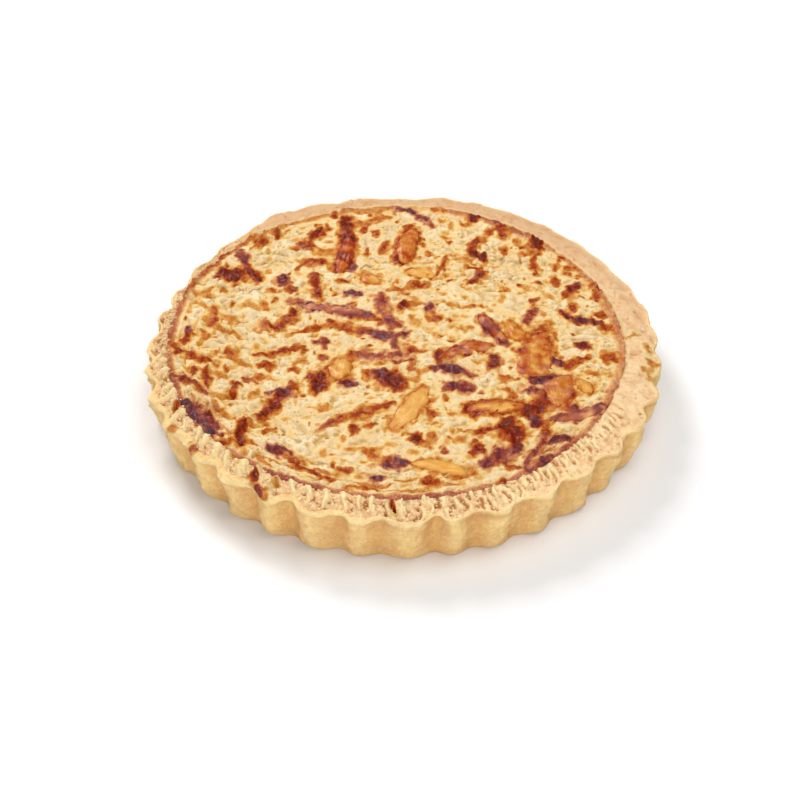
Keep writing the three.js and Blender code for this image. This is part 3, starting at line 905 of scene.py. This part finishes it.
folded = step(flat_lumps(round_x, round_y, 18, 1, 29.0), -0.1, 0.25)
fold = wall * FOLD_DEPTH * step(abs(z - fold_at), 1.5, 0.0) * folded
waver = (pool_edge(angle) - POOL_RADIUS) * inner
moved = radius - fluted + swell + dents - fold - scoop + waver
scale = np.divide(moved, radius, out=np.ones_like(radius), where=radius > 1)
x, y = x * scale + POOL_X * inner, y * scale + POOL_Y * inner
print("flutes", FLUTES, "and", round(float(torn[top > 0.5].mean()) * 100), "% of the rim torn")

# %% [markdown]
# Where the rim was trimmed it is torn, and ridges run outwards across it. On the left they are broad
# teeth that stop short of a wide smooth lip; from the front round to the right they are narrow, close and
# slanting, with slots between them. Each is laid out by a loop that walks round the rim in uneven
# strides.

# %% Torn ridges
broad = bump_at(angle, -48, 34)
lip_width = 1.0 + 3.4 * broad + 0.9 * flat_lumps(round_x, round_y, 12, 2, 91.0) * (0.3 + broad)
pool_out = np.hypot(x - POOL_X, y - POOL_Y) - pool_edge(angle)
from_lip = LIP_RADIUS - radius
comb, cuts = np.zeros(len(x)), np.zeros(len(x))
chance = random.Random(5)
at = -84.0
while at < 84:
    wide = math.exp(-(((at + 40) / 36) ** 2))
    lean = chance.uniform(-0.20, 0.20) - 0.34 * math.exp(-(((at - 38) / 30) ** 2))
    start = chance.uniform(-0.4, 1.8)
    end = chance.uniform(8.0, 11.5) + (1 - wide) * chance.uniform(-3.0, 1.5)
    half = chance.uniform(0.70, 1.20) + wide * chance.uniform(0.5, 1.0)
    tall = chance.uniform(0.9, 1.5) + 0.60 * wide
    near = np.flatnonzero((abs(angle - at) < 6) & (top * torn > 0.01))
    along = pool_out[near]
    across = (angle[near] - at) * math.radians(1) * 127 - lean * (along - 4)
    across += 0.5 * np.sin(along / 1.9 + 5 * at) + 0.8 * flat_lumps(x[near], y[near], 3.4, 2, at)
    body = step(abs(across) / (half * (1.15 - 0.05 * along)), 1.35, 0.45)
    length = step(along, start - 0.4, start + 2.0) * step(along, end + 1.2, end - 0.8)
    broken = 1.0 + 0.7 * flat_lumps(x[near], y[near], 3.0, 2, 77.0)
    made = tall * body * length * np.clip(broken, 0.1, 1.4)
    if at > chance.uniform(-8, 22):
        start = chance.uniform(0.0, 6.0)
        stop = start + 1.0 + 0.8 * end
        length = step(along, start, start + 1.4) * step(along, stop, stop - 1.8)
        made = (0.85 * tall) * body * length * np.clip(0.4 + 0.6 * broken, 0.3, 1.4)
        cuts[near] = np.maximum(cuts[near], made)
        beside = step(abs(across - half - 0.9) / (half * 1.1), 1.35, 0.45)
        comb[near] = np.maximum(comb[near], 0.5 * tall * beside * length * np.clip(broken, 0.2, 1.4))
        at += chance.uniform(1.2, 2.8)
    else:
        comb[near] = np.maximum(comb[near], made)
        at += chance.uniform(2.0, 3.2) + wide * chance.uniform(0.4, 2.8)
print("ridges cover", round(float((comb > 0.3)[torn * top > 0.5].mean()) * 100), "% of the torn rim")

# %% [markdown]
# Between the ridges lie grains and holes, and the rest of the rim has slow swells and fine pores. Round
# the right it is knobbly, and round the back it is nearly smooth, sinks a little towards the custard and
# steps where a piece has broken off. All of it moves vertices straight up or down.

# %% Rim relief
TOOTH_HEIGHT = 1.15
SLOT_DEPTH = 1.15
HOLE_DEPTH = 1.2
KNOB_HEIGHT = 1.4
PORE_DEPTH = 0.55
INNER_SINK = 1.5
GRAIN_SIZE = 2.5
LEDGES = [  # (angle, width, millimetres up) where a broken piece of rim steps up from its neighbour
    (-96, 8, 0.9), (-167, 7, 1.0), (-149, 6, 0.7), (-126, 7, 0.6), (160, 6, 0.5), (100, 5, 0.6),
]

band = torn * top * step(pool_out, -0.4, 1.2) * step(from_lip, lip_width - 0.6, lip_width + 1.0)
gritty = band * (1 - 0.65 * step(angle, 2, 30))
crumb_x, crumb_y = x + 0.5 * flat_lumps(x, y, 2, 1, 4.0), y + 0.5 * flat_lumps(x, y, 2, 1, 6.0)
grains = step(grain_distance(crumb_x, crumb_y, GRAIN_SIZE, 2.0) / GRAIN_SIZE, 0.75, 0.15)
chunky = 1 + 0.7 * bump_at(angle, -94, 26)
ridge = np.clip(comb, 0, 1)
open_crumb = step(flat_lumps(x * 1.1, y, 3.4, 2, 81.0), 0.24, 0.48)
holes = band * (1 - 0.6 * step(angle, 6, 26)) * open_crumb * (1 - ridge)
grit = 0.8 * grains + 0.5 * flat_lumps(x, y, 2.4, 2, 3.3) - 1.0
torn_depth = gritty * chunky * grit * (1 - 0.85 * ridge)
torn_depth -= HOLE_DEPTH * holes + SLOT_DEPTH * band * cuts
relief = band * comb * TOOTH_HEIGHT + torn_depth
relief += top * (0.55 * flat_lumps(x, y, 13, 2, 9.0) + 0.42 * flat_lumps(x, y, 4.5, 2, 1.0) + 0.25)
knobbly = top * bump_at(angle, 88, 27)
knobs = flat_lumps(x, y, 6.5, 2, 47.0)
relief += KNOB_HEIGHT * knobbly * knobs
rolled = step(from_lip, 0.2, 1.6) * step(from_lip, lip_width + 1.0, lip_width - 1.0)
relief += top * broad * rolled * (0.5 + 0.7 * flat_lumps(round_x, round_y, 6, 2, 93.0))
relief -= top * 1.1 * outer * broad * step(from_lip, 2.2, -0.4)
pores = top * (1 - 0.6 * torn) * step(flat_lumps(x, y, 2.2, 2, 19.0), 0.40, 0.66)
relief -= PORE_DEPTH * pores
for centre, width, rise in LEDGES:
    off = (angle - centre + 180 + 0.6 * flat_lumps(x, y, 3, 2, centre)) % 360 - 180
    relief += top * outer * rise * step(off, -0.25, 0.25) * step(off, width, 1)
sunk = np.clip(1.3 * bump_at(angle, 150, 85), 0, 1)
z = z + relief - top * INNER_SINK * sunk * step(pool_out, 11, 2)
place(pastry.data, x, y, z)
print("pastry height", round(float(z.min()), 2), "to", round(float(z.max()), 2), "mm")

# %% [markdown]
# Fillings that boiled over have left shiny orange drops on the rim, and a little has soaked into the
# pastry along the custard. The shape's own measures, such as how deep the pits are, are kept for the
# material, which paints shade into the pits, slots and holes, down the flute grooves, at the bottom of
# the wall and in the fold under the lip, and paints a highlight on the ridges, their grains, the lip and
# the flute crests.

# %% Pastry measures
SPILLS = [
    ([(-105, -84), (-101, -84)], 5.5, 0.66, 0.1), ([(-80, -90), (-76, -91)], 4.5, 0.62, 0.1),
    ([(-71, -102), (-71, -107)], 4.2, 0.86, 0.1), ([(-69, -111), (-67, -116)], 4.4, 0.88, 0.1),
    ([(-5, -121), (-4, -127)], 3, 0.8, 0.2), ([(-113, -52), (-113, -57)], 4, 0.56, 0.05),
    ([(-113, -67), (-113, -70)], 3.5, 0.48, 0.0), ([(128, -20), (127, -30)], 3.5, 0.33, 0.0),
    ([(131, -18), (128, -17)], 3, 0.32, 0.0), ([(119, -57), (119, -57.5)], 1.6, 0.7, 0.2),
    ([(-60, -107), (-60, -111)], 2.6, 0.44, 0), ([(118, 2), (124, 3)], 2.2, 0.36, 0.1),
    ([(-117, -30), (-119, -33)], 3, 0.5, 0.1), ([(129, -4), (127, -12)], 2.5, 0.30, 0.0),
]
brown, purple, _ = browning(x, y, SPILLS)
brown *= top
soaked, soaked_purple = contact(angle)
soak_width = 1.9 + 3.6 * np.maximum(bump_at(angle, 95, 42), bump_at(angle, 170, 45))
soak_width += 1.4 * flat_lumps(x, y, 7, 2, 6.0)
soaked *= step(pool_out, np.maximum(soak_width, 1.0), -0.6) * step(z, RIM_HEIGHT - 8, RIM_HEIGHT - 5)
purple = np.where(soaked > brown, soaked_purple, purple)
brown = np.maximum(brown, soaked)
# Painted highlight: a thin pale line along the lip.
lip_line = 0.7 * step(z, LIP_HEIGHT - 2.2, LIP_HEIGHT - 1.0) * outer
lip_line *= step(from_lip, 1.6 + 1.2 * broad, 0.4) * (0.4 + 0.6 * torn)
# Painted shade: pits, slots, holes, deeper torn crumb and the low parts of the knobs are coloured darker.
pit = 0.75 * holes + band * cuts - 0.38 * torn_depth + 0.6 * pores
pit += 0.35 * knobbly * step(-knobs, 0.05, 0.35)
tan = 1.2 * bump_at(angle, 178, 75) + 0.12 * bump_at(angle, 95, 45)
store(
    pastry.data, brown=brown, purple=purple,
    # Painted highlight: the torn ridges, their grains and the lip line are coloured palest.
    ridge=np.clip(band * (ridge + 0.6 * grains * (1 - holes)) + lip_line, 0, 1),
    pit=np.clip(pit, 0, 1),
    rim=top * step(from_lip, 0.6 * lip_width, lip_width + 0.8),
    # Painted light on the wall: painted shade down the flute grooves and a painted highlight on the crests.
    groove=groove * outer * (1 - top),
    crest=(1 - groove) ** 2 * outer * (1 - top),
    tan=top * np.clip(tan, 0, 1),
    # Painted shade: the wall darkens towards the bottom.
    foot=outer * step(z, 11, 0.5),
    # Painted shade: a darker line in the fold under the lip.
    seam=np.clip(fold / FOLD_DEPTH, 0, 1),
)
print(len(SPILLS), "spilt drops")

# %% [markdown]
# ## Crumbs
# Where the rim is torn it shows its crumb: grains about a millimetre across. Each is a plain twenty-sided
# ball, which is enough at that size. One ball is doubled again and again with the duplicate operator, and
# then every copy is squashed, turned and moved to its own place between the ridges, sunk by half.

# %% Crumbs
DOUBLINGS = 11
bm = bmesh.new()
bmesh.ops.create_icosphere(bm, subdivisions=1, radius=1)
corners_each = len(bm.verts)
for _ in range(DOUBLINGS):
    bmesh.ops.duplicate(bm, geom=bm.verts[:] + bm.edges[:] + bm.faces[:])
to_metres(bm)
crumb_piece = finished("pastry_crumbs", bm, [])

chance = np.random.default_rng(8)
count = 2**DOUBLINGS
likely = band * step(torn, 0.2, 0.6) * (1 - 0.9 * ridge) * (brown < 0.35)
likely *= 0.25 + 0.75 * bump_at(angle, -60, 50)
# bmesh may hand over the same vertices in another order each run, so they are first sorted by place.
by_place = np.lexsort((z.round(3), y.round(3), x.round(3)))
likely = likely[by_place]
chosen = by_place[chance.choice(len(likely), size=count, p=likely / likely.sum())]
bx, by, bz = (axis.reshape(count, corners_each) for axis in coordinates(crumb_piece.data))
size = chance.uniform(0.30, 0.85, (count, 1))
uneven = chance.uniform(0.75, 1.25, (count, corners_each))
flat = chance.uniform(0.55, 1.0, (count, 1))
spin = chance.uniform(0, math.tau, (count, 1))
bx, by = bx * np.cos(spin) - by * np.sin(spin), bx * np.sin(spin) + by * np.cos(spin)
gx = bx * size * uneven + x[chosen][:, None]
gy = by * size * uneven * 0.8 + y[chosen][:, None]
gz = bz * size * uneven * flat + z[chosen][:, None] + 0.1
place(crumb_piece.data, gx.ravel(), gy.ravel(), gz.ravel())
pale = np.repeat(chance.uniform(0.0, 0.8, count), corners_each)
store(crumb_piece.data, rim=np.ones(count * corners_each), ridge=pale)
print(count, "crumbs")

# %% [markdown]
# ## Pastry
# Baked shortcrust is matt and sandy. Its wall is pale gold, with painted shade down the flute grooves,
# at the bottom and in the fold under the lip, and a painted highlight on the flute crests. Its rim is
# pinkish tan with painted shade in the pits, slots and holes, and the torn ridges, their grains and
# the thin lip get a painted highlight, so they are palest. The measures kept on the mesh say where each
# tone lies, so colour and shape always agree, and noise keeps the borders soft.

# %% Pastry material
finish, tree, surface = material("baked shortcrust")
grain = speckle(tree, 1500, 4, 0.7)
patch = speckle(tree, 70, 4, 0.62)
drift = speckle(tree, 210, 4, 0.62)
WALL_TONES = [(0.36, srgb(255, 218, 146)), (0.48, srgb(248, 202, 126)), (0.62, srgb(230, 182, 118))]
wall_colour = ramp(tree, patch, WALL_TONES)
MOTTLES = [  # (lumps a metre, noise where it starts, and is full, strength, colour)
    (210, 0.50, 0.68, 0.60, srgb(220, 162, 94)), (210, 0.44, 0.30, 0.55, srgb(255, 226, 168)),
    (270, 0.51, 0.62, 0.50, srgb(234, 182, 136)), (240, 0.51, 0.62, 0.55, srgb(240, 206, 118)),
    (420, 0.48, 0.34, 0.45, srgb(252, 226, 176)), (520, 0.52, 0.66, 0.50, srgb(196, 144, 88)),
]
for scale, start, full, share, tone in MOTTLES:
    mottle = times(tree, grade(tree, speckle(tree, scale, 4, 0.62), start, full), share)
    wall_colour = blend(tree, mottle, wall_colour, tone)
wall_colour = layered(tree, wall_colour, [
    # Painted shade down the flute grooves, then a painted highlight on the flute crests.
    (times(tree, attribute(tree, "groove"), 0.50), srgb(212, 156, 90)),
    (times(tree, attribute(tree, "crest"), 0.40), srgb(255, 226, 160)),
    # Painted shade towards the bottom of the wall.
    (times(tree, attribute(tree, "foot"), 0.35), srgb(196, 146, 92)),
    # Painted shade in the fold under the lip.
    (times(tree, attribute(tree, "seam"), 0.50), srgb(196, 146, 90)),
])
RIM_TONES = [(0.36, srgb(254, 223, 176)), (0.52, srgb(250, 212, 163)), (0.66, srgb(238, 194, 146))]
tan = attribute(tree, "tan")
patches = times(tree, grade(tree, speckle(tree, 130, 3), 0.50, 0.64), 0.5)
rim_colour = layered(tree, ramp(tree, patch, RIM_TONES), [
    (times(tree, grade(tree, drift, 0.52, 0.72), 0.5), srgb(220, 170, 118)),
    (times(tree, tan, 0.9), srgb(213, 169, 124)),
    (times(tree, tan, patches), srgb(204, 138, 76)),
    # Painted shade in the pits, slots and holes of the rim.
    (attribute(tree, "pit"), srgb(192, 124, 62)),
])
both = layered(tree, wall_colour, [
    (attribute(tree, "rim"), rim_colour),
    # Painted highlight on the torn ridges, their grains and the lip; on the crumbs this tone is their
    # random paleness.
    (times(tree, attribute(tree, "ridge"), 0.88), srgb(254, 231, 172)),
    (times(tree, grade(tree, grain, 0.54, 0.74), 0.40), srgb(184, 134, 86)),
    (times(tree, grade(tree, grain, 0.46, 0.28), 0.35), srgb(252, 232, 194)),
])
coloured = browned(tree, both, attribute(tree, "brown"), attribute(tree, "purple"), fray=0.8)
sand = calc(tree, "ADD", times(tree, grain, 0.6), speckle(tree, 420, 3, 0.6))
feed(tree, surface, {
    "Base Color": coloured.outputs["Colour"],
    "Roughness": grade(tree, coloured.outputs["Baked"], 1.0, -0.15),
    "Normal": bump(tree, sand, 0.8, 0.0012), "Specular IOR Level": 0.30,
})
pastry.data.materials.append(finish)
crumb_piece.data.materials.append(finish)
print("pastry material", len(tree.nodes), "nodes")

# %% [markdown]
# ## Onion
# The larger pieces of onion are petals cut from the bulb: thin, pointed, ribbed along their length and
# softened by the oven. Each starts as a sphere with its poles at the petal's tips, because a sphere's
# meridians then run as an onion's ribs do. It is pressed flat, bent, and laid so that it follows the
# custard.

# %% Onion petals
PETAL_PROUD = 1.45
PETAL_SUNK = 0.22
MERIDIANS, PARALLELS = 48, 56
custard_x, custard_y, custard_z = coordinates(custard.data)
ground = kdtree.KDTree(len(custard_x))
for number, spot in enumerate(zip(custard_x.tolist(), custard_y.tolist())):
    ground.insert((*spot, 0 if custard_z[number] > POOL_FLOOR + 5 else 999), number)
ground.balance()


def ground_height(x, y):
    """The custard's height under each point, evened out over its nearest vertices."""
    heights = []
    for a, b in zip(x.tolist(), y.tolist()):
        nearest = ground.find_n((a, b, 0), 40)
        heights.append(np.mean([custard_z[found[1]] for found in nearest]))
    return np.array(heights)


onions = []
for number, (length, width, turned, bow, widest, middle, edge, hue) in enumerate(PETALS, 1):
    centre_x, centre_y = petal_centre(number)
    bm = bmesh.new()
    bmesh.ops.create_uvsphere(bm, u_segments=MERIDIANS, v_segments=PARALLELS, radius=1)
    bmesh.ops.transform(bm, matrix=Matrix.Rotation(math.pi / 2, 4, "Y"), verts=bm.verts)
    to_metres(bm)
    petal = finished(f"onion_petal_{number:02d}", bm, [f"onion_piece_{number:02d}"])
    u, v, w = coordinates(petal.data)
    ring = np.sqrt(np.clip(1 - u**2, 0, 1))
    across = np.clip(np.divide(v, ring, out=np.zeros_like(v), where=ring > 0.02), -1, 1)
    along = u + widest * (1 - u**2)
    ragged = flat_lumps(along * length / 9, across * 0.8, 1.0, 3, number * 3.7)
    pointed = np.clip(ring, 0.02, 1) ** 0.45 * (1.06 + 0.24 * ragged)
    side = v * pointed * width / 2 + bow * (u**2 - 0.4) + 0.35 * ragged
    ribs = 0.10 * np.cos(across * math.pi * width / 2.4 + 2 * ragged) * ring
    folds = 0.5 * flat_lumps(along * length / 9, across * width / 6, 1.0, 1, number * 5.1)
    thick = np.where(w > 0, (PETAL_PROUD + folds + ribs) * w, 1.3 * w)
    turn = math.radians(turned)
    px = along * length / 2 * math.cos(turn) - side * math.sin(turn) + centre_x
    py = along * length / 2 * math.sin(turn) + side * math.cos(turn) + centre_y
    place(petal.data, px, py, ground_height(px, py) + thick - PETAL_SUNK)
    edges_near = np.maximum(abs(across) ** 2.0, abs(u) ** 4)
    patchy = (0.20 if number in SOFT_PETALS else 0.36) * flat_lumps(px, py, 6, 3, 40.0 + number)
    store(
        petal.data, across=across * width / 2, along=along * length / 2,
        brown=np.clip(middle + (edge - middle) * edges_near + patchy, 0, 1),
        purple=np.clip(hue + 0.5 * ragged * (hue > 0.05), 0, 1),
    )
    onions.append(petal)
print(len(onions), "onion petals")

# %% [markdown]
# Cooked onion is glossy and a little see-through, with fine ribs lighter and darker along its length. The
# ribs are read from each petal's own measure across, so they follow its bend.

# %% Onion material
finish, tree, surface = material("roasted onion")
rib_at = add(tree, "CombineXYZ", {
    "X": attribute(tree, "across"), "Y": times(tree, attribute(tree, "along"), 0.10),
}).outputs[0]
ribs = speckle(tree, 1.1, 3, 0.6, rib_at)
streak = calc(tree, "SUBTRACT", ribs, 0.5)
brown = calc(tree, "MULTIPLY_ADD", streak, 0.30, attribute(tree, "brown"), clamp=True)
coloured = browned(tree, srgb(238, 190, 100), brown, attribute(tree, "purple"), fray=0.35)
amber = ramp(tree, ribs, [(0.30, srgb(232, 176, 72)), (0.62, srgb(206, 128, 30))])
clear = times(tree, grade(tree, coloured.outputs["Baked"], 0.46, 0.16), 0.80)
height = calc(tree, "ADD", ribs, times(tree, speckle(tree, 420, 2), 0.8))
feed(tree, surface, {
    "Base Color": blend(tree, clear, coloured.outputs["Colour"], amber),
    "Roughness": calc(tree, "MULTIPLY_ADD", speckle(tree, 500, 3), 0.30, 0.14),
    "Normal": bump(tree, height, 0.5, 0.0006),
    "Specular IOR Level": 0.34, "Specular Tint": (1.0, 0.76, 0.50, 1),
    "Subsurface Weight": 0.06, "Subsurface Radius": JUICY, "Subsurface Scale": 1.0,
})
for petal in onions:
    petal.data.materials.append(finish)
print("onion material", len(tree.nodes), "nodes")

# %% [markdown]
# ## Floor and light
# A plain pale floor and soft studio light: a key lamp behind on the left, which puts a sheen on the
# browned parts, a broad one overhead, one low in front that opens up the shaded wall, and a pale sky. A
# lit sky alone would be as bright, but it flattens the custard's relief.

# %% Stage
FLOOR_REACH = 12  # metres from the middle to each edge
SKY_STRENGTH = 0.26
finish, tree, surface = material("pale floor")
feed(tree, surface, {"Base Color": srgb(238, 238, 238), "Roughness": 0.9, "Specular IOR Level": 0.1})
bm = bmesh.new()
bmesh.ops.create_grid(bm, x_segments=1, y_segments=1, size=FLOOR_REACH)
floor_mesh = bpy.data.meshes.new("floor")
bm.to_mesh(floor_mesh)
bm.free()
floor = bpy.data.objects.new("floor", floor_mesh)
floor.data.materials.append(finish)
bpy.context.scene.collection.objects.link(floor)

LAMPS = [  # (name, place in metres, width in metres, watts)
    ("key lamp", (-0.55, 0.85, 1.00), 0.5, 13),
    ("top lamp", (0.40, -0.10, 1.35), 0.9, 10),
    ("front lamp", (-0.10, -1.40, 0.65), 0.9, 11),
]
for name, spot, width, watts in LAMPS:
    lamp = bpy.data.objects.new(name, bpy.data.lights.new(name, "AREA"))
    lamp.data.size = width
    lamp.data.energy = watts
    aim(lamp, spot, (0, 0, 0))
sky = bpy.data.worlds.new("pale sky")
sky.use_nodes = True
backdrop = sky.node_tree.nodes["Background"]
feed(sky.node_tree, backdrop, {"Color": srgb(250, 250, 250), "Strength": SKY_STRENGTH})
bpy.context.scene.world = sky
print(len(LAMPS), "lamps")
